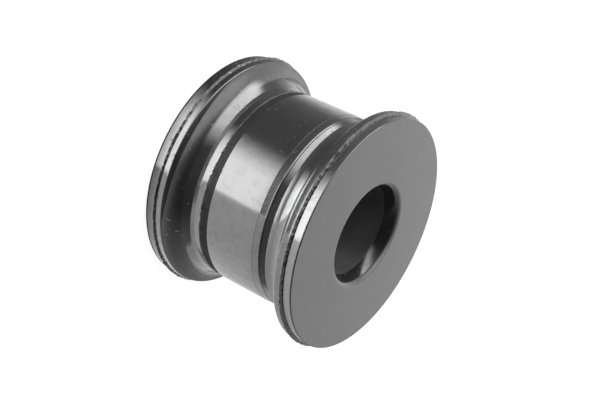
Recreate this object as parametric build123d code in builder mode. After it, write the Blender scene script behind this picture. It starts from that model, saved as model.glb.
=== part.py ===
"""Rubber metal bush: a spool of moulded rubber, bonded between two steel sleeves.

The bush stands on one end face, with its axis on +Z and its origin at the centre of that face.
Every piece is a turned or moulded ring. Each is drawn as the upper half of its section, in
radius and height above the mid-plane, mirrored about the mid-plane and revolved about the axis.
"""

import os
from math import radians, tan

from build123d import *

# Driving dimensions, in millimetres and degrees.
bush_length = 42.0  # over the two rubber end faces
bore_diameter = 22.0  # inside the inner sleeve
inner_sleeve_wall = 2.0
inner_sleeve_chamfer = 0.4
outer_sleeve_diameter = 47.2
outer_sleeve_wall = 2.0
outer_sleeve_length = 13.0
outer_sleeve_edge = 0.25  # round on the two outer edges

flange_diameter = 56.0  # over the end bands
face_edge_radius = 0.5  # round between an end face and its band
band_width = 1.9
groove_width = 0.5  # parting groove between the band and the fin
groove_depth = 0.7
fin_height = 0.9  # how far the parting fin stands out past the band
fin_tip = 0.4
fin_root = 0.6
lip_width = 1.8
lip_proud = 0.2  # how far the lip stands out past the band
lip_edge_radius = 0.5
back_slope = 12.0  # fall of the flange's back face towards the neck
flare_share = 0.85  # radius of the flare into the neck, as a share of the flange's height over the neck
neck_taper = 9.0  # fall of the neck, from the outer sleeve towards the flare
sleeve_stand = 0.1  # how far the outer sleeve stands out past the neck
seam_distance = 2.1  # mould seam round the neck, measured from the end of the outer sleeve
seam_depth = 0.15
seam_width = 0.3  # at the surface, with both walls sloping in

mouth_flare = 1.1  # how much wider the rubber mouth is at the end face than the bore, on the radius
mouth_depth = 3.4  # from the end face to the end of the inner sleeve
mouth_round = 1.4  # between the end face and the mouth
throat_step = 0.1  # how far the rubber stands back from the bore where the mouth meets the sleeve

# Radii and heights above the mid-plane that follow from them.
half_length = bush_length / 2
bore_radius = bore_diameter / 2
inner_sleeve_radius = bore_radius + inner_sleeve_wall
outer_sleeve_radius = outer_sleeve_diameter / 2
seat_radius = outer_sleeve_radius - outer_sleeve_wall
half_sleeve = outer_sleeve_length / 2

mouth_radius = bore_radius + mouth_flare
throat_radius = bore_radius + throat_step
inner_sleeve_end = half_length - mouth_depth

band_radius = flange_diameter / 2
groove_top = half_length - band_width
groove_foot = groove_top - groove_width
fin_foot = groove_foot - fin_root
fin_middle = (groove_foot + fin_foot) / 2
lip_foot = fin_foot - lip_width
lip_radius = band_radius + lip_proud

neck_start_radius = outer_sleeve_radius - sleeve_stand
seam_height = half_sleeve + seam_distance

# The neck's cone and the flange's back face would meet here if nothing rounded the corner.
neck_fall = tan(radians(neck_taper))
back_fall = tan(radians(back_slope))
back_at_neck_start = lip_foot - (lip_radius - neck_start_radius) * back_fall
flare_corner_height = (back_at_neck_start + half_sleeve * neck_fall * back_fall) / (1 + neck_fall * back_fall)
flare_corner_radius = neck_start_radius - (flare_corner_height - half_sleeve) * neck_fall
flare_radius = flare_share * (lip_radius - flare_corner_radius)
seam_radius = neck_start_radius - seam_distance * neck_fall

# The sketch plane holds the axis: its x is the radius and its y the height above the mid-plane.
section = Plane(origin=(0, 0, half_length), x_dir=(1, 0, 0), z_dir=(0, -1, 0))


def corner(sketch, radius, height):
    """The corner of a section that lies at this radius and height."""
    return sketch.vertices().sort_by_distance((radius, height, 0))[0]


# Rubber body: both flanges, the neck and the walls of the two sleeve seats, moulded in one piece.
with BuildPart() as rubber_body:
    with BuildSketch(section) as moulding:
        with BuildLine():
            Polyline(
                (inner_sleeve_radius, 0),
                (inner_sleeve_radius, inner_sleeve_end),
                (throat_radius, inner_sleeve_end),
                (mouth_radius, half_length),
                (band_radius, half_length),
                (band_radius, groove_top),
                (band_radius - groove_depth, groove_top),
                (band_radius - groove_depth, groove_foot),
                (band_radius + fin_height, fin_middle + fin_tip / 2),
                (band_radius + fin_height, fin_middle - fin_tip / 2),
                (lip_radius, fin_foot),
                (lip_radius, lip_foot),
                (flare_corner_radius, flare_corner_height),
                (neck_start_radius, half_sleeve),
                (seat_radius, half_sleeve),
                (seat_radius, 0),
                close=True,
            )
        make_face()
        fillet(corner(moulding.sketch_local, flare_corner_radius, flare_corner_height), flare_radius)
        fillet(corner(moulding.sketch_local, lip_radius, lip_foot), lip_edge_radius)
        fillet(corner(moulding.sketch_local, band_radius, half_length), face_edge_radius)
        fillet(corner(moulding.sketch_local, mouth_radius, half_length), mouth_round)
        with BuildLine():
            Polyline(
                (seam_radius - seam_depth, seam_height),
                (seam_radius + seam_depth, seam_height + seam_width),
                (seam_radius + seam_depth, seam_height - seam_width),
                close=True,
            )
        make_face(mode=Mode.SUBTRACT)
        mirror(about=Plane.XZ)
    revolve(axis=Axis.Z)

# Outer sleeve: a steel ring around the waist, which the eye or clamp of the mounting grips.
with BuildPart() as outer_sleeve:
    with BuildSketch(section) as ring:
        with BuildLine():
            Polyline(
                (seat_radius, 0),
                (seat_radius, half_sleeve),
                (outer_sleeve_radius, half_sleeve),
                (outer_sleeve_radius, 0),
                close=True,
            )
        make_face()
        fillet(corner(ring.sketch_local, outer_sleeve_radius, half_sleeve), outer_sleeve_edge)
        mirror(about=Plane.XZ)
    revolve(axis=Axis.Z)

# Inner sleeve: a steel tube in the bore, set back behind the rounded rubber mouths.
with BuildPart() as inner_sleeve:
    with BuildSketch(section) as tube:
        with BuildLine():
            Polyline(
                (bore_radius, 0),
                (bore_radius, inner_sleeve_end),
                (inner_sleeve_radius, inner_sleeve_end),
                (inner_sleeve_radius, 0),
                close=True,
            )
        make_face()
        chamfer(corner(tube.sketch_local, bore_radius, inner_sleeve_end), inner_sleeve_chamfer)
        mirror(about=Plane.XZ)
    revolve(axis=Axis.Z)

rubber_body.part.label = "rubber_body"
outer_sleeve.part.label = "outer_sleeve"
inner_sleeve.part.label = "inner_sleeve"

os.makedirs("parts", exist_ok=True)
export_step(rubber_body.part, "parts/rubber_body.step")
export_step(outer_sleeve.part, "parts/outer_sleeve.step")
export_step(inner_sleeve.part, "parts/inner_sleeve.step")
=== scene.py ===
"""Rubber metal bush: a moulded rubber spool with a steel ring round its waist and a steel tube inside."""

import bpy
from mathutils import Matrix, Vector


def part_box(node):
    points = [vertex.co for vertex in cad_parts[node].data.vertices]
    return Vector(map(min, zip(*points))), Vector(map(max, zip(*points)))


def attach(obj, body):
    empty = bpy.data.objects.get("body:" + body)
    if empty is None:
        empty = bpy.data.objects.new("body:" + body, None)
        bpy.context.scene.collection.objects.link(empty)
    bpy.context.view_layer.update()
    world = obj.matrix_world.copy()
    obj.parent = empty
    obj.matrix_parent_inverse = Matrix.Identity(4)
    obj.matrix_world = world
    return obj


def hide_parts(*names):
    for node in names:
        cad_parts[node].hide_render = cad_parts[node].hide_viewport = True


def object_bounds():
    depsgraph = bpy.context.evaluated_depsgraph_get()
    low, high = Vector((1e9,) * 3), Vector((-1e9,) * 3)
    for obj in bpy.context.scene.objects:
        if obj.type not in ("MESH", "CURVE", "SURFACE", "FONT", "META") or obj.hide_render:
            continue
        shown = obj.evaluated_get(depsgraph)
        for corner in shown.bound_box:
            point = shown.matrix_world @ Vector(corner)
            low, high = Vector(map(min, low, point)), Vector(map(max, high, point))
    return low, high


bl_info = {
    "name": "Rubber Metal Bush",
    "version": (1, 0, 0),
    "blender": (4, 5, 0),
    "location": "View3D > Sidebar > Bush",
    "description": "Builds the bush's rubber, waist ring and bore tube on the packed frame, with its stage",
    "category": "Object",
}

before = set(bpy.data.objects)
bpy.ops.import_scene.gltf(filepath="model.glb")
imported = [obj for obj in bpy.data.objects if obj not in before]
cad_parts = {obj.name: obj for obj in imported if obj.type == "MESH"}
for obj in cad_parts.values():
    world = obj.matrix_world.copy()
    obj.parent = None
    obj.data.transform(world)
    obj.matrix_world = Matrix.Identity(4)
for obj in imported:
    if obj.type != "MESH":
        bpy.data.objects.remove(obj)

from math import cos, hypot, pi, radians, sin, tan

import bmesh
import bpy
from bpy.props import FloatProperty, FloatVectorProperty, IntProperty, PointerProperty
from bpy.types import Operator, Panel, PropertyGroup
from mathutils import Matrix, Vector

CAD_BOX = [list(corner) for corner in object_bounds()]
LOW, HIGH = (Vector(corner) for corner in CAD_BOX)
RUBBER_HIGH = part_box("rubber_body")[1]
RING_LOW, RING_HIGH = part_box("outer_sleeve")
TUBE_LOW, TUBE_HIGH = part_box("inner_sleeve")
MIDDLE = (LOW.z + HIGH.z) / 2
MM = 0.001
MICRON = 1e-6
SEAM_RISE = 2.1 * MM  # from the ring's edge to the mould seam in each neck
ONE_POINT = 0.001 * MM  # closer than this is one point
SHARP_EDGE = 35  # degrees; a steeper edge isn't smoothed
NOISE_MIDDLE = 0.5  # what a noise node gives on average
MOTTLE_PALENESS = 1.6  # of the mottle's pale parts, against its dark ones
CAMERA_PLACE = (-0.000464, -0.259820, 0.167332)  # metres
FLOOR_WIDTH = 40  # metres, so that its edges are out of sight


# ---------------------------------------------------------------- modelling


def start_section(name, radius, height):
    """Adds a piece that is one vertex so far, at this radius and height above the mid-plane."""
    bpy.ops.object.select_all(action="DESELECT")
    bpy.ops.mesh.primitive_circle_add(vertices=3, radius=MM, location=(radius, 0, MIDDLE + height))
    piece = bpy.context.active_object
    piece.name = piece.data.name = name
    bpy.ops.object.transform_apply(location=True, rotation=True, scale=True)
    bpy.ops.object.mode_set(mode="EDIT")
    bpy.ops.mesh.select_mode(type="VERT")
    bpy.ops.mesh.select_all(action="SELECT")
    bpy.ops.mesh.merge(type="CENTER")
    return piece


def select_corner(piece, radius, height, reach=0.004 * MM):
    """Selects the section's vertex at this radius and height above the mid-plane."""
    bpy.ops.mesh.select_all(action="DESELECT")
    mesh = bmesh.from_edit_mesh(piece.data)
    for vertex in mesh.verts:
        if abs(vertex.co.x - radius) < reach and abs(vertex.co.z - MIDDLE - height) < reach:
            vertex.select_set(True)
    mesh.select_flush(True)
    bmesh.update_edit_mesh(piece.data)
    if not any(vertex.select for vertex in mesh.verts):
        raise RuntimeError(f"{piece.name} has no corner at {radius / MM:.3f}, {height / MM:.3f} mm")


def draw_ring(name, corners, rounds, steps):
    """A turned ring: its section drawn corner by corner and closed, the corners rounded, then spun."""
    piece = start_section(name, *corners[0])
    for (r, h), (next_r, next_h) in zip(corners, corners[1:]):
        bpy.ops.mesh.extrude_region_move(TRANSFORM_OT_translate={"value": (next_r - r, 0, next_h - h)})
    bpy.ops.mesh.select_all(action="SELECT")
    bpy.ops.mesh.edge_face_add()
    bpy.ops.mesh.delete(type="ONLY_FACE")
    for radius, height, size, segments in rounds:
        select_corner(piece, radius, height)
        bpy.ops.mesh.bevel(affect="VERTICES", offset=size, segments=segments, profile=0.5)
    bpy.ops.mesh.select_all(action="SELECT")
    bpy.ops.mesh.remove_doubles(threshold=ONE_POINT)
    bpy.ops.mesh.spin(steps=steps, angle=2 * pi, center=(0, 0, 0), axis=(0, 0, 1))
    bpy.ops.mesh.select_all(action="SELECT")
    bpy.ops.mesh.remove_doubles(threshold=ONE_POINT)
    bpy.ops.mesh.normals_make_consistent(inside=False)
    bpy.ops.object.mode_set(mode="OBJECT")
    return piece


def mirrored(points):
    """The same points, or rounds, below the mid-plane."""
    return [(radius, -height, *rest) for radius, height, *rest in points]


def gather(piece, name, belongs):
    """A vertex group of the vertices for which belongs(radius, height above the mid-plane) holds."""
    group = piece.vertex_groups.new(name=name)
    for vertex in piece.data.vertices:
        x, y, z = vertex.co
        if belongs(hypot(x, y), z - MIDDLE):
            group.add([vertex.index], 1, "REPLACE")
    return group.name


def displace(piece, group, size, depth, strength, level, direction="NORMAL"):
    """Pushes the vertices of a group in and out by cloudy noise of this size."""
    clouds = bpy.data.textures.new(f"{group} clouds", "CLOUDS")
    clouds.noise_scale = size
    clouds.noise_depth = depth
    push = piece.modifiers.new(group, "DISPLACE")
    push.texture = clouds
    push.texture_coords = "LOCAL"
    push.direction = direction
    push.vertex_group = group
    push.strength = strength
    push.mid_level = level
    bpy.context.view_layer.objects.active = piece
    bpy.ops.object.modifier_apply(modifier=push.name)


def finish_piece(piece, material, slot, angle, *nodes):
    """Smooths a piece up to an edge angle, gives it its material and puts it in the frame."""
    bpy.ops.object.select_all(action="DESELECT")
    piece.select_set(True)
    bpy.context.view_layer.objects.active = piece
    bpy.ops.object.shade_smooth_by_angle(angle=radians(angle))
    flat = piece.modifiers.new("flats", "WEIGHTED_NORMAL")
    flat.keep_sharp = True
    bpy.ops.object.modifier_apply(modifier=flat.name)
    piece.data.materials.clear()
    piece.data.materials.append(material)
    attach(piece, "root")
    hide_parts(*nodes)


# ---------------------------------------------------------------- node helpers


def add(tree, kind, **settings):
    """A node of this kind, with properties by name and input values given as in_NAME or in_NUMBER."""
    node = tree.nodes.new(kind)
    for name, value in settings.items():
        if name.startswith("in_"):
            key = name[3:].replace("_", " ")
            node.inputs[int(key) if key.isdigit() else key].default_value = value
        else:
            setattr(node, name, value)
    return node


def put(tree, value, socket):
    """Sets a socket to a number, or links another socket to it."""
    if isinstance(value, (int, float)):
        socket.default_value = value
    else:
        tree.links.new(value, socket)


def maths(tree, operation, a, b=0.0, c=None):
    """A Math node; each operand is a number or a socket. Returns its output."""
    node = add(tree, "ShaderNodeMath", operation=operation)
    for index, value in enumerate((a, b, c)):
        if value is not None:
            put(tree, value, node.inputs[index])
    return node.outputs[0]


def product(tree, first, *others):
    """Numbers and sockets multiplied together, one after another."""
    total = first
    for value in others:
        total = maths(tree, "MULTIPLY", total, value)
    return total


def rest_of(tree, share):
    """What a share leaves of 1."""
    return maths(tree, "SUBTRACT", 1.0, share)


def ramp(tree, value, start, end, low=0.0, high=1.0):
    """Turns start...end of a value into low...high, smoothly and clamped."""
    node = add(tree, "ShaderNodeMapRange", interpolation_type="SMOOTHSTEP")
    tree.links.new(value, node.inputs["Value"])
    for name, number in (("From Min", start), ("From Max", end), ("To Min", low), ("To Max", high)):
        put(tree, number, node.inputs[name])
    return node.outputs["Result"]


def scale_of(tree, size, times=1.0):
    """A texture's scale for clouds of a size in millimetres, or so many times finer."""
    return maths(tree, "DIVIDE", times / MM, size)


def noise(tree, vector, scale, detail=3.0, roughness=0.5, distortion=0.0):
    """A Noise node's value on this vector."""
    node = add(tree, "ShaderNodeTexNoise")
    tree.links.new(vector, node.inputs["Vector"])
    settings = {"Scale": scale, "Detail": detail, "Roughness": roughness, "Distortion": distortion}
    for name, value in settings.items():
        put(tree, value, node.inputs[name])
    return node.outputs["Fac"]


def stretched(tree, vector, x, y, z):
    """A vector scaled along each axis, for noise that is drawn out."""
    node = add(tree, "ShaderNodeVectorMath", operation="MULTIPLY")
    node.inputs[1].default_value = (x, y, z)
    tree.links.new(vector, node.inputs[0])
    return node.outputs[0]


def new_group(name, inputs, outputs):
    """A shader node group with named float or vector inputs and float outputs."""
    tree = bpy.data.node_groups.new(name, "ShaderNodeTree")
    for socket_name, default in inputs:
        kind = "NodeSocketVector" if default is None else "NodeSocketFloat"
        socket = tree.interface.new_socket(socket_name, in_out="INPUT", socket_type=kind)
        if default is not None:
            socket.default_value = default
    for socket_name in outputs:
        tree.interface.new_socket(socket_name, in_out="OUTPUT", socket_type="NodeSocketFloat")
    return tree, tree.nodes.new("NodeGroupInput"), tree.nodes.new("NodeGroupOutput")


def ring_coordinates_group():
    """Radius from the axis and height above the mid-plane, in millimetres."""
    name = "ring coordinates"
    if name in bpy.data.node_groups:
        return bpy.data.node_groups[name]
    tree, taken, given = new_group(name, [("Vector", None)], ["Radius", "Height"])
    split = add(tree, "ShaderNodeSeparateXYZ")
    tree.links.new(taken.outputs["Vector"], split.inputs[0])
    x_squared = maths(tree, "MULTIPLY", split.outputs["X"], split.outputs["X"])
    squared = maths(tree, "MULTIPLY_ADD", split.outputs["Y"], split.outputs["Y"], x_squared)
    radius = maths(tree, "SQRT", squared)
    tree.links.new(maths(tree, "MULTIPLY", radius, 1 / MM), given.inputs["Radius"])
    height = maths(tree, "SUBTRACT", split.outputs["Z"], MIDDLE)
    tree.links.new(maths(tree, "MULTIPLY", height, 1 / MM), given.inputs["Height"])
    return tree


def moulded_grain_group():
    """A moulded skin: pitting and slow waves as a height in metres, a slow mottle and small blotches."""
    name = "moulded grain"
    if name in bpy.data.node_groups:
        return bpy.data.node_groups[name]
    sizes = [("Grain Size", 0.4), ("Grain Depth", 4.0), ("Wave Size", 6.0), ("Wave Depth", 20.0)]
    tree, taken, given = new_group(name, [("Vector", None), *sizes], ["Height", "Mottle", "Blotch"])
    vector, wave_size = taken.outputs["Vector"], taken.outputs["Wave Size"]
    grain = noise(tree, vector, scale_of(tree, taken.outputs["Grain Size"]), 4, 0.6)
    wave = noise(tree, vector, scale_of(tree, wave_size), 2, 0.45, 0.3)
    fine = maths(tree, "MULTIPLY", grain, taken.outputs["Grain Depth"])
    total = maths(tree, "MULTIPLY_ADD", wave, taken.outputs["Wave Depth"], fine)
    tree.links.new(maths(tree, "MULTIPLY", total, MICRON), given.inputs["Height"])
    mottle = noise(tree, vector, scale_of(tree, wave_size, 0.4), 4, 0.6)
    tree.links.new(ramp(tree, mottle, 0.3, 0.7), given.inputs["Mottle"])
    blotch = noise(tree, vector, scale_of(tree, wave_size, 2.4), 5, 0.7, 0.6)
    tree.links.new(ramp(tree, blotch, 0.46, 0.64), given.inputs["Blotch"])
    return tree


def handling_marks_group():
    """Dust specks, short hairline scratches and pits, each as a mask from 0 to 1."""
    name = "handling marks"
    if name in bpy.data.node_groups:
        return bpy.data.node_groups[name]
    shares = [("Speck Spacing", 1.6), ("Speck Share", 0.2), ("Scratch Spacing", 4.0), ("Scratch Share", 0.3)]
    tree, taken, given = new_group(name, [("Vector", None), *shares], ["Speck", "Scratch", "Pit"])
    vector, spacing = taken.outputs["Vector"], taken.outputs["Scratch Spacing"]
    cells = add(tree, "ShaderNodeTexVoronoi", feature="F1")
    tree.links.new(vector, cells.inputs["Vector"])
    tree.links.new(scale_of(tree, taken.outputs["Speck Spacing"]), cells.inputs["Scale"])
    split = add(tree, "ShaderNodeSeparateColor")
    tree.links.new(cells.outputs["Color"], split.inputs[0])
    lot, bulk, from_centre = split.outputs["Red"], split.outputs["Green"], cells.outputs["Distance"]

    # Specks and pits sit in cells drawn by lot, more of them where the marks crowd together.
    crowd_scale, pit_share = 90, 0.14
    smallest, spread = 0.035, 0.06
    crowded = ramp(tree, noise(tree, vector, crowd_scale, 2, 0.5), 0.4, 0.62, 0.25, 1.6)
    dusted = maths(tree, "LESS_THAN", lot, product(tree, taken.outputs["Speck Share"], crowded))
    size = maths(tree, "MULTIPLY_ADD", bulk, spread, smallest)
    dot = maths(tree, "LESS_THAN", from_centre, size)
    tree.links.new(product(tree, dot, dusted), given.inputs["Speck"])
    pitted = maths(tree, "GREATER_THAN", lot, rest_of(tree, product(tree, crowded, pit_share)))
    hollow = ramp(tree, maths(tree, "DIVIDE", from_centre, size), 1.2, 3.4, 1, 0)
    tree.links.new(product(tree, hollow, pitted), given.inputs["Pit"])

    # A scratch is where a slow noise crosses its middle, kept in some patches only.
    field = noise(tree, vector, scale_of(tree, spacing, 0.5), 1.5, 0.4, 0.5)
    off_middle = maths(tree, "ABSOLUTE", maths(tree, "SUBTRACT", field, NOISE_MIDDLE))
    line = ramp(tree, off_middle, 0.002, 0.006, 1, 0)
    patches = noise(tree, vector, scale_of(tree, spacing, 2), 2, 0.5)
    edge = maths(tree, "SUBTRACT", 0.75, product(tree, taken.outputs["Scratch Share"], 0.4))
    patch = maths(tree, "GREATER_THAN", patches, edge)
    tree.links.new(product(tree, line, patch), given.inputs["Scratch"])
    return tree


def brushed_patch_group():
    """Fine streaks across a band round the axis, in patches, as a mask from 0 to 1."""
    name = "brushed patch"
    if name in bpy.data.node_groups:
        return bpy.data.node_groups[name]
    tree, taken, given = new_group(name, [("Vector", None), ("Height", -13.5), ("Width", 1.2)], ["Mask"])
    vector = taken.outputs["Vector"]
    place = use_group(tree, ring_coordinates_group(), vector)
    offset = maths(tree, "SUBTRACT", place.outputs["Height"], taken.outputs["Height"])
    away = maths(tree, "ABSOLUTE", offset)
    inside = ramp(tree, maths(tree, "DIVIDE", away, taken.outputs["Width"]), 0.4, 1, 1, 0)
    streak_scale, patch_scale = 2600, 110
    along = stretched(tree, vector, 1, 1, 0.18)
    streak = ramp(tree, noise(tree, along, streak_scale, 2, 0.6, 0.4), 0.52, 0.66)
    patch = ramp(tree, noise(tree, vector, patch_scale, 2, 0.5), 0.45, 0.6)
    tree.links.new(product(tree, inside, product(tree, streak, patch)), given.inputs["Mask"])
    return tree


def drawn_lines_group():
    """Fine lines that the mould drew round the rims of the flanges, as a relief from 0 to 1."""
    name = "drawn lines"
    if name in bpy.data.node_groups:
        return bpy.data.node_groups[name]
    tree, taken, given = new_group(name, [("Vector", None), ("Inner Radius", 26.9)], ["Relief"])
    vector, inner = taken.outputs["Vector"], taken.outputs["Inner Radius"]
    place = use_group(tree, ring_coordinates_group(), vector)
    line_scale, rim_width = 3200, 0.8
    around = stretched(tree, vector, 0.035, 0.035, 1)
    lines = ramp(tree, noise(tree, around, line_scale, 2, 0.6), 0.4, 0.62)
    rim = ramp(tree, place.outputs["Radius"], inner, maths(tree, "ADD", inner, rim_width))
    tree.links.new(product(tree, lines, rim), given.inputs["Relief"])
    return tree


def dull_band_group():
    """1 between two heights under the mid-plane and within a radius, with a ragged foot."""
    name = "dull band"
    if name in bpy.data.node_groups:
        return bpy.data.node_groups[name]
    limits = [("Top", -6.5), ("Foot", -8.62), ("Radius", 23.5)]
    tree, taken, given = new_group(name, [("Vector", None), *limits], ["Mask"])
    place = use_group(tree, ring_coordinates_group(), taken.outputs["Vector"])
    height = place.outputs["Height"]
    rag_scale, rag_height = 900, 0.5
    rag = noise(tree, taken.outputs["Vector"], rag_scale, 3, 0.6)
    ragged = maths(tree, "SUBTRACT", rag, NOISE_MIDDLE)
    foot = maths(tree, "MULTIPLY_ADD", ragged, rag_height, taken.outputs["Foot"])
    under_top = maths(tree, "LESS_THAN", height, taken.outputs["Top"])
    over_foot = maths(tree, "GREATER_THAN", height, foot)
    within = maths(tree, "LESS_THAN", place.outputs["Radius"], taken.outputs["Radius"])
    tree.links.new(product(tree, under_top, over_foot, within), given.inputs["Mask"])
    return tree


def start_material(name):
    """A material with its Principled BSDF and the Object coordinates."""
    material = bpy.data.materials.new(name)
    material.use_nodes = True
    tree = material.node_tree
    shader = tree.nodes["Principled BSDF"]
    place = add(tree, "ShaderNodeTexCoord").outputs["Object"]
    return material, tree, shader, place


def use_group(tree, group, place, **values):
    """Places a node group, links the coordinates and sets its other inputs."""
    node = add(tree, "ShaderNodeGroup", node_tree=group)
    tree.links.new(place, node.inputs["Vector"])
    for name, value in values.items():
        node.inputs[name.replace("_", " ")].default_value = value
    return node


def blend_colour(tree, mask, below, above):
    """Mixes two colours by a mask; each colour is a tuple or a socket."""
    node = add(tree, "ShaderNodeMix", data_type="RGBA")
    tree.links.new(mask, node.inputs[0])
    for index, value in ((6, below), (7, above)):
        if isinstance(value, bpy.types.NodeSocket):
            tree.links.new(value, node.inputs[index])
        else:
            node.inputs[index].default_value = (*value[:3], 1)
    return node.outputs[2]


def paler(colour, times):
    """A colour, so many times as bright."""
    return [times * part for part in colour]


def set_bump(tree, shader, height):
    """Feeds a height in metres to the shader's normal."""
    bump = add(tree, "ShaderNodeBump", in_Strength=1.0, in_Distance=1.0)
    tree.links.new(height, bump.inputs["Height"])
    tree.links.new(bump.outputs["Normal"], shader.inputs["Normal"])


# ---------------------------------------------------------------- finishes


def glossy_skin(look, name, colour, roughness, grain, marks):
    """A black glossy skin with grain, smears, dust, pits and scratches, which its finish links up.

    Returns its material, node tree, shader and coordinates, then its tint, dullness, coat and height.
    """
    material, tree, shader, place = start_material(name)
    skin = use_group(tree, moulded_grain_group(), place, **grain)
    mark = use_group(tree, handling_marks_group(), place, **marks)
    mottle, blotch = skin.outputs["Mottle"], skin.outputs["Blotch"]
    height = use_group(tree, ring_coordinates_group(), place).outputs["Height"]
    below_face, at_face = 20.3, 20.9
    handled = ramp(tree, maths(tree, "ABSOLUTE", height), below_face, at_face, 1, 0.25)
    speck_cover, scratch_cover = 0.85, 0.3
    scratch = product(tree, mark.outputs["Scratch"], handled)
    speck = product(tree, mark.outputs["Speck"], handled, speck_cover)
    pit = product(tree, mark.outputs["Pit"], handled)
    dusty = maths(tree, "MAXIMUM", speck, product(tree, scratch, scratch_cover))
    tint = blend_colour(tree, mottle, colour, paler(colour, MOTTLE_PALENESS))
    tint = blend_colour(tree, dusty, tint, look.dust_colour)
    shader.inputs["Specular IOR Level"].default_value = look.base_specular
    shader.inputs["Coat Roughness"].default_value = look.coat_roughness
    mottle_dullness, smear_loss, dust_loss, pit_loss = 0.1, 0.16, 0.8, 0.65
    dull = maths(tree, "MULTIPLY_ADD", mottle, mottle_dullness, roughness)
    smeared = product(tree, blotch, handled, smear_loss)
    marked = maths(tree, "MAXIMUM", product(tree, dusty, dust_loss), product(tree, pit, pit_loss))
    coat = product(tree, rest_of(tree, maths(tree, "MAXIMUM", smeared, marked)), look.rubber_gloss)
    pit_depth, scratch_rise = 25 * MICRON, 12 * MICRON
    relief = maths(tree, "MULTIPLY_ADD", pit, -pit_depth, skin.outputs["Height"])
    relief = maths(tree, "MULTIPLY_ADD", scratch, scratch_rise, relief)
    return material, tree, shader, place, tint, dull, coat, relief


def rubber_finish(look):
    """Black moulded rubber: a glossy skin, dull and dark in the sunk band, brushed by the crease."""
    grain = {"Grain_Size": 0.8, "Grain_Depth": 7.0, "Wave_Size": 5.0, "Wave_Depth": 34.0}
    marks = {"Speck_Spacing": 1.4, "Speck_Share": 0.2, "Scratch_Share": 0.4}
    material, tree, shader, place, tint, dull, coat, relief = glossy_skin(
        look, "moulded black rubber", look.rubber_colour, look.rubber_roughness, grain, marks
    )
    band = use_group(tree, dull_band_group(), place).outputs["Mask"]
    brushed = use_group(tree, brushed_patch_group(), place).outputs["Mask"]
    drawn = use_group(tree, drawn_lines_group(), place).outputs["Relief"]
    band_paleness, band_dullness, band_loss = 2.5, 0.3, 0.97
    tint = blend_colour(tree, band, tint, paler(look.rubber_colour, band_paleness))
    tree.links.new(tint, shader.inputs["Base Color"])
    tree.links.new(maths(tree, "MULTIPLY_ADD", band, band_dullness, dull), shader.inputs["Roughness"])
    kept = rest_of(tree, product(tree, band, band_loss))
    tree.links.new(product(tree, coat, kept), shader.inputs["Coat Weight"])
    streak_rise, line_rise = 22 * MICRON, 14 * MICRON
    relief = maths(tree, "MULTIPLY_ADD", brushed, streak_rise, relief)
    set_bump(tree, shader, maths(tree, "MULTIPLY_ADD", drawn, line_rise, relief))
    return material


def steel_finish(look):
    """Black coated steel ring: glossy and smeared, with hairline scratches, pits and dust."""
    grain = {"Grain_Size": 0.9, "Grain_Depth": 7.0, "Wave_Size": 5.5, "Wave_Depth": 75.0}
    marks = {"Speck_Spacing": 1.2, "Speck_Share": 0.3, "Scratch_Share": 0.34}
    material, tree, shader, place, tint, dull, coat, relief = glossy_skin(
        look, "black coated steel", look.steel_colour, look.steel_roughness, grain, marks
    )
    tree.links.new(tint, shader.inputs["Base Color"])
    tree.links.new(dull, shader.inputs["Roughness"])
    tree.links.new(coat, shader.inputs["Coat Weight"])
    set_bump(tree, shader, relief)
    return material


def tube_finish(look):
    """Dark phosphated steel tube, dull, with a drawn grain."""
    grain = {"Grain_Size": 0.25, "Grain_Depth": 3.0, "Wave_Size": 4.0, "Wave_Depth": 6.0}
    material, tree, shader, place = start_material("phosphated steel tube")
    skin = use_group(tree, moulded_grain_group(), place, **grain)
    pale = paler(look.tube_colour, MOTTLE_PALENESS)
    tint = blend_colour(tree, skin.outputs["Mottle"], look.tube_colour, pale)
    tree.links.new(tint, shader.inputs["Base Color"])
    shader.inputs["Roughness"].default_value = look.tube_roughness
    set_bump(tree, shader, skin.outputs["Height"])
    return material


# ---------------------------------------------------------------- settings


def length(name, description, default):
    """A size that is set in millimetres and kept in metres."""
    size = default * MM
    return FloatProperty(name=name, description=description, default=size, unit="LENGTH", subtype="DISTANCE")


def colour(name, description, default):
    """A colour, as linear red, green and blue."""
    return FloatVectorProperty(
        name=name, description=description, default=default, size=3, min=0, max=1, subtype="COLOR"
    )


def share(name, description, default):
    """A number from 0 to 1."""
    return FloatProperty(name=name, description=description, default=default, min=0, max=1)


def strength(name, description, default):
    """A lamp's strength."""
    return FloatProperty(name=name, description=description, default=default, min=0)


def angle(name, description, degrees):
    """An angle that is set in degrees and kept in radians."""
    return FloatProperty(name=name, description=description, default=radians(degrees), subtype="ANGLE")


class BushSizes(PropertyGroup):
    """Sizes of the rubber spool, its ring and its tube."""

    fin_diameter: length("Fin diameter", "Over the parting fins", 2 * RUBBER_HIGH.x / MM)
    flange_diameter: length("Flange diameter", "Over the end bands", 56.0)
    bush_length: length("Length", "Over the two rubber end faces", (HIGH.z - LOW.z) / MM)
    ring_diameter: length("Waist ring diameter", "Outside the steel ring", 2 * RING_HIGH.x / MM)
    ring_length: length("Waist ring length", "Along the axis", (RING_HIGH.z - RING_LOW.z) / MM)
    ring_wall: length("Waist ring wall", "Thickness of the steel ring", 2.0)
    tube_length: length("Tube length", "Along the axis", (TUBE_HIGH.z - TUBE_LOW.z) / MM)
    tube_wall: length("Tube wall", "Thickness of the steel tube", 2.0)
    tube_diameter: length("Tube diameter", "Outside the steel tube", 2 * TUBE_HIGH.x / MM)
    spin_steps: IntProperty(name="Steps round", description="Facets round each piece", default=720, min=32)


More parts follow.
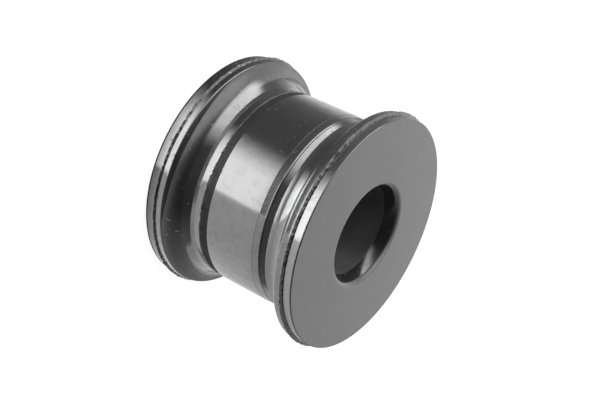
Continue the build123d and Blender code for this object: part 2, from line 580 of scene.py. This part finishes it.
class BushLook(PropertyGroup):
    """Colours and gloss of the three materials."""

    rubber_colour: colour("Rubber", "Colour of the moulded rubber", (0.007, 0.007, 0.0073))
    rubber_roughness: share("Rubber roughness", "Under the gloss", 0.38)
    rubber_gloss: share("Gloss", "Strength of the glossy skin on rubber and ring", 1.0)
    coat_roughness: share("Gloss roughness", "Of the glossy skin", 0.12)
    base_specular: share("Base specular", "Under the gloss", 0.11)
    steel_colour: colour("Waist ring", "Colour of the coated steel", (0.008, 0.008, 0.008))
    steel_roughness: share("Ring roughness", "Under the gloss", 0.34)
    tube_colour: colour("Tube", "Colour of the phosphated tube", (0.060, 0.060, 0.060))
    tube_roughness: share("Tube roughness", "Of the phosphated tube", 0.5)
    dust_colour: colour("Dust", "Colour of dust and scuffs", (0.42, 0.42, 0.41))


class BushStage(PropertyGroup):
    """Floor, lamps and camera."""

    floor_colour: colour("Floor", "Colour of the floor", (0.16, 0.16, 0.16))
    bench_light: strength("Bench light", "Brightness of the panel on the bench", 14.0)
    side_light: strength("Side light", "Brightness of the panel at the side", 10.5)
    focal_length: FloatProperty(name="Focal length", description="Camera's", default=76.86, unit="CAMERA")
    camera_height: angle("Camera height", "Angle above the bench", 29.188)
    camera_roll: angle("Camera roll", "Turn about the view axis", 115.911)


# ---------------------------------------------------------------- operators


class BUSH_OT_rubber_body(Operator):
    """Turn the moulded rubber spool, with its fins, grooves, flares and dished mouths"""

    bl_idname = "bush.rubber_body"
    bl_label = "Rubber body"
    bl_options = {"REGISTER", "UNDO"}

    def execute(self, context):
        sizes, look = context.scene.bush_sizes, context.scene.bush_look
        neck, rounds, end = self.upper_neck(sizes)
        upper, upper_rounds = self.one_end(sizes, neck, rounds, **end)
        neck, rounds, end = self.lower_neck(sizes)
        lower, lower_rounds = self.one_end(sizes, neck, rounds, **end)
        corners = upper + mirrored(reversed(lower))
        body = draw_ring("rubber_spool", corners, upper_rounds + mirrored(lower_rounds), sizes.spin_steps)
        self.wear(body, sizes)
        finish_piece(body, rubber_finish(look), "rubber", SHARP_EDGE, "rubber_body")
        return {"FINISHED"}

    def wear(self, body, sizes):
        """Ragged parting fins and grooves, and the torn seam under the ring."""
        half, fin, band = sizes.bush_length / 2, sizes.fin_diameter / 2, sizes.flange_diameter / 2
        ring = sizes.ring_diameter / 2
        parting, parting_half = half - 2.7 * MM, 0.8 * MM
        seam, seam_half = sizes.ring_length / 2 + SEAM_RISE + 0.06 * MM, 0.16 * MM
        rim_depth, tip_depth, seam_reach = 0.5 * MM, 0.2 * MM, 0.6 * MM

        def near_parting(radius, height):
            return radius > band - rim_depth and abs(abs(height) - parting) < parting_half

        def on_tip(radius, height):
            return radius > fin - tip_depth

        def on_seam(radius, height):
            return abs(height + seam) < seam_half and abs(radius - ring) < seam_reach

        rag = {"size": 0.9 * MM, "depth": 2, "strength": 0.16 * MM, "level": 0.5, "direction": "Z"}
        chew = {"size": 0.8 * MM, "depth": 3, "strength": 0.55 * MM, "level": 0.88}
        tear = {"size": 0.55 * MM, "depth": 2, "strength": 0.42 * MM, "level": 0.5, "direction": "Z"}
        displace(body, gather(body, "parting", near_parting), **rag)
        displace(body, gather(body, "fin tips", on_tip), **chew)
        displace(body, gather(body, "torn seam", on_seam), **tear)

    def upper_neck(self, sizes):
        """The neck over the ring: a gentle cone, a steep one cut by the mould seam, and a gentle one."""

        def along(point, rise, slope):
            """The point this far up a cone from another."""
            radius, height = point
            return (radius - rise * slope, height + rise)

        gentle, steep = tan(radians(2.8)), tan(radians(14))
        foot = (sizes.ring_diameter / 2 - 0.04 * MM, sizes.ring_length / 2)
        lower_bend = along(foot, 1.7 * MM, gentle)
        upper_bend = along(lower_bend, 1.8 * MM, steep)
        waist = along(upper_bend, 1.0 * MM, gentle)

        seam = sizes.ring_length / 2 + SEAM_RISE
        seam_half, seam_depth = 0.09 * MM, 0.09 * MM
        at_seam = along(lower_bend, seam - lower_bend[1], steep)
        groove = [
            along(at_seam, seam_half, steep),
            (at_seam[0] - seam_depth, seam),
            along(at_seam, -seam_half, steep),
        ]

        # A corner beside each bend keeps its shading off the cones.
        under_upper = along(upper_bend, -0.3 * MM, steep)
        over_lower = along(lower_bend, 0.16 * MM, steep)
        under_lower = along(lower_bend, -0.16 * MM, gentle)
        neck = [waist, upper_bend, under_upper, *groove, over_lower, lower_bend, under_lower, foot]
        rounds = [(*upper_bend, 0.2 * MM, 4), (*lower_bend, 0.08 * MM, 2), (*waist, 0.15 * MM, 3)]
        end = {"flare_lean": 0.0, "flare": 3.7 * MM, "parting": 2.5 * MM, "bead": 0.3 * MM}
        return neck, rounds, end

    def lower_neck(self, sizes):
        """The neck under the ring: a sunk band, a torn seam, then a narrow collar that ends in a crease.

        Its heights are measured downward, because the points are mirrored below the mid-plane.
        """
        start = sizes.ring_length / 2
        at_ring = sizes.ring_diameter / 2 - 0.15 * MM
        seam = start + SEAM_RISE
        sunk, collar = at_ring - 0.12 * MM, at_ring + 0.02 * MM
        bend = (collar - 0.08 * MM, seam + 0.45 * MM)
        waist, crease = at_ring - 0.15 * MM, start + 4.0 * MM
        foot, foot_height = waist + 0.28 * MM, crease + 1.0 * MM
        neck = [
            (foot, foot_height),
            (foot - 0.06 * MM, foot_height - 0.21 * MM),
            (waist + 0.045 * MM, crease + 0.16 * MM),
            (waist, crease),
            (waist + 0.01 * MM, crease - 0.16 * MM),
            bend,
            (collar, seam + 0.12 * MM),
            (sunk, seam),
            (sunk, start),
        ]
        rounds = [(*bend, 0.3 * MM, 3), (waist, crease, 0.08 * MM, 2), (foot, foot_height, 0.12 * MM, 2)]
        end = {"flare_lean": 23.5, "flare": 2.65 * MM, "parting": 2.78 * MM, "bead": None}
        return neck, rounds, end

    def one_end(self, sizes, neck, neck_rounds, flare_lean, flare, parting, bead):
        """The section of one end, from the tube over the face and the flange to the ring, and its rounds."""
        half, band = sizes.bush_length / 2, sizes.flange_diameter / 2
        tube, tube_end = sizes.tube_diameter / 2, sizes.tube_length / 2
        bore = tube - sizes.tube_wall
        throat, mouth, mouth_round = bore + 0.03 * MM, bore + 1.1 * MM, 1.0 * MM

        # The parting: a groove, then a fin with a narrow flat tip.
        parting_half, groove_width, groove_depth = 0.5 * MM, 0.22 * MM, 0.15 * MM
        groove_top = half - parting + parting_half
        groove_foot = groove_top - groove_width
        groove_floor = band - groove_depth
        fin_inset = 0.06 * MM  # room for the noise, which pushes parts of the tip outward
        fin = sizes.fin_diameter / 2 - fin_inset
        fin_foot = half - parting - parting_half
        fin_middle, fin_half = (groove_foot + fin_foot) / 2, 0.12 * MM

        # The flare: the corner where the flange's back meets the line that leaves the neck.
        lip_proud, lip_depth, back_slope = 0.2 * MM, 4.8 * MM, 12
        lip, lip_foot = band + lip_proud, half - lip_depth
        waist, waist_height = neck[0]
        lean, back = tan(radians(flare_lean)), tan(radians(back_slope))
        reach = (lip_foot - waist_height - (lip - waist) * back) / (1 - lean * back)
        corner = (waist + reach * lean, waist_height + reach)

        bead_groove = []
        if bead:
            cut = 0.05 * MM
            bead_groove = [(band, half - bead + cut), (band - cut, half - bead), (band, half - bead - cut)]
        corners = [
            (tube, tube_end),
            (throat, tube_end),
            (mouth, half),
            (band, half),
            *bead_groove,
            (band, groove_top),
            (groove_floor, groove_top),
            (groove_floor, groove_foot),
            (fin, fin_middle + fin_half),
            (fin, fin_middle - fin_half),
            (lip, fin_foot),
            (lip, lip_foot),
            corner,
            *neck,
            (sizes.ring_diameter / 2 - sizes.ring_wall, sizes.ring_length / 2),
        ]
        lip_round, band_round = 0.5 * MM, 0.2 * MM
        rounds = [
            (*corner, flare, 16),
            (lip, lip_foot, lip_round, 5),
            (band, half, band_round, 3),
            (mouth, half, mouth_round, 10),
            *neck_rounds,
        ]
        return corners, rounds


class BUSH_OT_waist_ring(Operator):
    """Turn the coated steel ring round the waist"""

    bl_idname = "bush.waist_ring"
    bl_label = "Waist ring"
    bl_options = {"REGISTER", "UNDO"}

    def execute(self, context):
        sizes, look = context.scene.bush_sizes, context.scene.bush_look
        outside = sizes.ring_diameter / 2
        end = sizes.ring_length / 2
        inside = outside - sizes.ring_wall
        upper = [(inside, end), (outside, end)]
        rounds = [(outside, end, 0.06 * MM, 3), (inside, end, 0.15 * MM, 2)]
        corners = upper + mirrored(reversed(upper))
        ring = draw_ring("waist_ring", corners, rounds + mirrored(rounds), sizes.spin_steps)
        finish_piece(ring, steel_finish(look), "black_steel", SHARP_EDGE, "outer_sleeve")
        return {"FINISHED"}


class BUSH_OT_bore_tube(Operator):
    """Turn the steel tube in the bore"""

    bl_idname = "bush.bore_tube"
    bl_label = "Bore tube"
    bl_options = {"REGISTER", "UNDO"}

    def execute(self, context):
        sizes, look = context.scene.bush_sizes, context.scene.bush_look
        outside = sizes.tube_diameter / 2
        end = sizes.tube_length / 2
        inside = outside - sizes.tube_wall
        upper = [(inside, end), (outside, end)]
        rounds = [(inside, end, 0.1 * MM, 2)]
        corners = upper + mirrored(reversed(upper))
        tube = draw_ring("bore_tube", corners, rounds + mirrored(rounds), sizes.spin_steps // 2)
        finish_piece(tube, tube_finish(look), "bore_steel", SHARP_EDGE, "inner_sleeve")
        return {"FINISHED"}


def glow_material(name, strength_of):
    """A clear material that shines from its front only, as strongly as strength_of(tree, place) says."""
    material = bpy.data.materials.new(name)
    material.use_nodes = True
    tree = material.node_tree
    tree.nodes.clear()
    glow = add(tree, "ShaderNodeEmission")
    front = maths(tree, "SUBTRACT", 1.0, add(tree, "ShaderNodeNewGeometry").outputs["Backfacing"])
    split = add(tree, "ShaderNodeSeparateXYZ")
    tree.links.new(add(tree, "ShaderNodeTexCoord").outputs["Object"], split.inputs[0])
    strength_here = maths(tree, "MULTIPLY", front, strength_of(tree, split.outputs))
    tree.links.new(strength_here, glow.inputs["Strength"])
    both = add(tree, "ShaderNodeAddShader")
    tree.links.new(glow.outputs[0], both.inputs[0])
    tree.links.new(add(tree, "ShaderNodeBsdfTransparent").outputs[0], both.inputs[1])
    out = add(tree, "ShaderNodeOutputMaterial")
    tree.links.new(both.outputs[0], out.inputs["Surface"])
    return material


def set_as_panel(piece, name, material):
    """Makes a flat piece a light panel, which the camera doesn't see."""
    piece.name = piece.data.name = name
    piece.data.materials.append(material)
    piece.visible_camera = False
    piece.visible_shadow = False
    piece.visible_diffuse = False


def ring_panel(name, inside, outside, low, high, material):
    """A light panel all round the bush, from one circle to another; it faces up and inward."""
    bpy.ops.object.select_all(action="DESELECT")
    bpy.ops.mesh.primitive_circle_add(vertices=96, radius=inside, location=(0, 0, low))
    piece = bpy.context.active_object
    bpy.ops.object.transform_apply(location=True)
    bpy.ops.object.mode_set(mode="EDIT")
    bpy.ops.mesh.select_all(action="SELECT")
    bpy.ops.mesh.extrude_region_move(TRANSFORM_OT_translate={"value": (0, 0, high - low)})
    grow = outside / inside
    bpy.ops.transform.resize(value=(grow, grow, 1), center_override=(0, 0, high))
    bpy.ops.mesh.select_all(action="SELECT")
    bpy.ops.mesh.normals_make_consistent(inside=False)
    bpy.ops.object.mode_set(mode="OBJECT")
    face = piece.data.polygons[0]
    if face.normal.z - face.normal.dot(face.center.normalized()) < 0:
        piece.data.flip_normals()
    set_as_panel(piece, name, material)


class BUSH_OT_stage(Operator):
    """Set the bench, the light panels and the camera"""

    bl_idname = "bush.stage"
    bl_label = "Stage"
    bl_options = {"REGISTER", "UNDO"}

    def execute(self, context):
        stage = context.scene.bush_stage
        self.floor(stage)
        self.lights(stage)
        self.world(context.scene)
        self.camera(context.scene, stage)
        context.scene.view_settings.view_transform = "Standard"
        return {"FINISHED"}

    def floor(self, stage):
        """A pale bench that the camera sees white, with the bush's shadow on it."""
        bpy.ops.object.select_all(action="DESELECT")
        bpy.ops.mesh.primitive_plane_add(size=FLOOR_WIDTH)
        floor = bpy.context.active_object
        floor.name = floor.data.name = "floor"
        material = bpy.data.materials.new("white bench")
        material.use_nodes = True
        tree = material.node_tree
        tree.nodes.clear()
        path = add(tree, "ShaderNodeLightPath")
        plain = add(tree, "ShaderNodeBsdfDiffuse", in_Color=(*stage.floor_colour, 1))
        seen_strength, mirrored_share = 0.9, 0.17
        glow = add(tree, "ShaderNodeEmission", in_Strength=seen_strength)
        white = add(tree, "ShaderNodeAddShader")
        tree.links.new(plain.outputs[0], white.inputs[0])
        tree.links.new(glow.outputs[0], white.inputs[1])
        seen = maths(tree, "MAXIMUM", path.outputs["Is Camera Ray"], path.outputs["Is Transmission Ray"])
        in_gloss = maths(tree, "MULTIPLY", path.outputs["Is Glossy Ray"], mirrored_share)
        mix = add(tree, "ShaderNodeMixShader")
        tree.links.new(maths(tree, "MAXIMUM", seen, in_gloss), mix.inputs[0])
        tree.links.new(plain.outputs[0], mix.inputs[1])
        tree.links.new(white.outputs[0], mix.inputs[2])
        out = add(tree, "ShaderNodeOutputMaterial")
        tree.links.new(mix.outputs[0], out.inputs["Surface"])
        floor.data.materials.append(material)

    def lights(self, stage):
        """A panel on the bench round the bush and one standing at its side, both seen only in its gloss."""

        def turn_of(tree, place, x=0.0, y=0.0):
            """Degrees round from the camera's side to the right, as seen from a point near the axis."""
            right = maths(tree, "SUBTRACT", place["X"], x)
            front = maths(tree, "SUBTRACT", y, place["Y"])
            return maths(tree, "MULTIPLY", maths(tree, "ARCTAN2", right, front), 180 / pi)

        def distance_of(tree, place):
            """Distance from the axis."""
            y_squared = maths(tree, "MULTIPLY", place["Y"], place["Y"])
            return maths(tree, "SQRT", maths(tree, "MULTIPLY_ADD", place["X"], place["X"], y_squared))

        def bench_strength(tree, place):
            """Bright in a fan toward the camera, fading round to the right, faint behind on the left.

            A dark ring crosses the fan, and the fan is brighter outside it.
            """
            turn = turn_of(tree, place, -5.5 * MM, -8.6 * MM)
            far = distance_of(tree, place)
            fan_edge = (30.5, 34.5)
            soft_edge = ramp(tree, turn, -36, 3, 0, 1)
            crisp_edge = ramp(tree, turn, *fan_edge, 1, 0.29)
            fade = ramp(tree, turn, 30, 140, 1, 0.1)
            fan = product(tree, soft_edge, crisp_edge, fade)
            behind = ramp(tree, turn, -105, -130, 0, 0.05)
            inner_side = ramp(tree, far, 70.5 * MM, 73 * MM)
            outer_side = ramp(tree, far, 97 * MM, 92.5 * MM)
            dark_ring = product(tree, inner_side, outer_side)
            darkness = product(tree, dark_ring, ramp(tree, turn, *fan_edge, 1, 0.15))
            beyond = ramp(tree, far, 92 * MM, 98 * MM, 1, 1.6)
            by_the_bush = ramp(tree, far, 28 * MM, 32 * MM, 0.5, 1)
            kept = product(tree, rest_of(tree, darkness), beyond, by_the_bush)
            return product(tree, maths(tree, "ADD", fan, behind), kept, stage.bench_light)

        def side_strength(tree, place):
            """Bright on the left, fading toward the camera and upward."""
            turn = turn_of(tree, place)
            back_edge = ramp(tree, turn, -102, -84, 0, 1)
            front_edge = ramp(tree, turn, -42, -6, 1, 0)
            top = 0.6 * stage.side_light
            upward = ramp(tree, place["Z"], 35 * MM, 58 * MM, stage.side_light, top)
            return product(tree, back_edge, front_edge, upward)

        inside, outside, over_bench = 28.1 * MM, 125 * MM, 0.4 * MM
        bench_light = glow_material("bench light", bench_strength)
        ring_panel("bench_panel", inside, outside, over_bench, over_bench, bench_light)
        wall, wall_foot, wall_top = 116 * MM, 5 * MM, 62 * MM
        side_light = glow_material("side light", side_strength)
        ring_panel("side_panel", wall, wall, wall_foot, wall_top, side_light)

    def world(self, scene):
        """A dim room, lighter high on the left and darker in front; the camera sees it white."""
        world = bpy.data.worlds.new("studio")
        scene.world = world
        world.use_nodes = True
        tree = world.node_tree
        tree.nodes.clear()
        direction = add(tree, "ShaderNodeTexCoord").outputs["Generated"]

        def lobe(turn, height, start, end):
            """1 toward one direction, 0 away from it; all in degrees."""
            aim = add(tree, "ShaderNodeVectorMath", operation="DOT_PRODUCT")
            turn, height = radians(turn), radians(height)
            aim.inputs[1].default_value = (sin(turn) * cos(height), -cos(turn) * cos(height), sin(height))
            tree.links.new(direction, aim.inputs[0])
            return ramp(tree, aim.outputs["Value"], cos(radians(start)), cos(radians(end)))

        wide_light, high_light, back_light = 1.7, 3.0, 0.1
        room, front_shade = 0.82, 0.72
        left = product(tree, lobe(-115, 50, 80, 20), wide_light)
        high_left = maths(tree, "MULTIPLY_ADD", lobe(-86, 64, 38, 8), high_light, left)
        behind = product(tree, lobe(180, 45, 60, 20), back_light)
        dim_room = maths(tree, "MULTIPLY_ADD", lobe(20, 20, 80, 30), -front_shade, room)
        total = maths(tree, "ADD", maths(tree, "ADD", high_left, behind), dim_room)
        camera = add(tree, "ShaderNodeLightPath").outputs["Is Camera Ray"]
        lit = product(tree, total, rest_of(tree, camera))
        background = add(tree, "ShaderNodeBackground")
        tree.links.new(maths(tree, "ADD", lit, camera), background.inputs["Strength"])
        out = add(tree, "ShaderNodeOutputWorld")
        tree.links.new(background.outputs[0], out.inputs["Surface"])

    def camera(self, scene, stage):
        """The camera in front of the bush and above it, rolled so that the bush's axis lies slantwise."""
        data = bpy.data.cameras.new("camera")
        camera = bpy.data.objects.new("camera", data)
        scene.collection.objects.link(camera)
        data.lens = stage.focal_length
        data.sensor_width = 36
        data.clip_start = 0.01
        camera.location = CAMERA_PLACE
        tilt = Matrix.Rotation(pi / 2 - stage.camera_height, 3, "X")
        camera.rotation_euler = (tilt @ Matrix.Rotation(stage.camera_roll, 3, "Z")).to_euler()
        scene.camera = camera


STEPS = (BUSH_OT_rubber_body, BUSH_OT_waist_ring, BUSH_OT_bore_tube, BUSH_OT_stage)


class BUSH_PT_panel(Panel):
    """Sizes, finishes and pieces of the bush"""

    bl_idname = "BUSH_PT_panel"
    bl_label = "Rubber metal bush"
    bl_space_type = "VIEW_3D"
    bl_region_type = "UI"
    bl_category = "Bush"

    def draw(self, context):
        for settings in (context.scene.bush_sizes, context.scene.bush_look, context.scene.bush_stage):
            box = self.layout.box()
            for name in settings.__annotations__:
                box.prop(settings, name)
        for step in STEPS:
            self.layout.operator(step.bl_idname)


GROUPS = (BushSizes, BushLook, BushStage)


def register():
    """Adds the settings, the operators and the panel."""
    for item in (*GROUPS, *STEPS, BUSH_PT_panel):
        bpy.utils.register_class(item)
    bpy.types.Scene.bush_sizes = PointerProperty(type=BushSizes)
    bpy.types.Scene.bush_look = PointerProperty(type=BushLook)
    bpy.types.Scene.bush_stage = PointerProperty(type=BushStage)


def unregister():
    """Takes them away again."""
    del bpy.types.Scene.bush_stage, bpy.types.Scene.bush_look, bpy.types.Scene.bush_sizes
    for item in reversed((*GROUPS, *STEPS, BUSH_PT_panel)):
        bpy.utils.unregister_class(item)


def main():
    """Builds the bush on its stage."""
    register()
    bpy.ops.bush.rubber_body()
    bpy.ops.bush.waist_ring()
    bpy.ops.bush.bore_tube()
    bpy.ops.bush.stage()


if __name__ == "__main__":
    main()
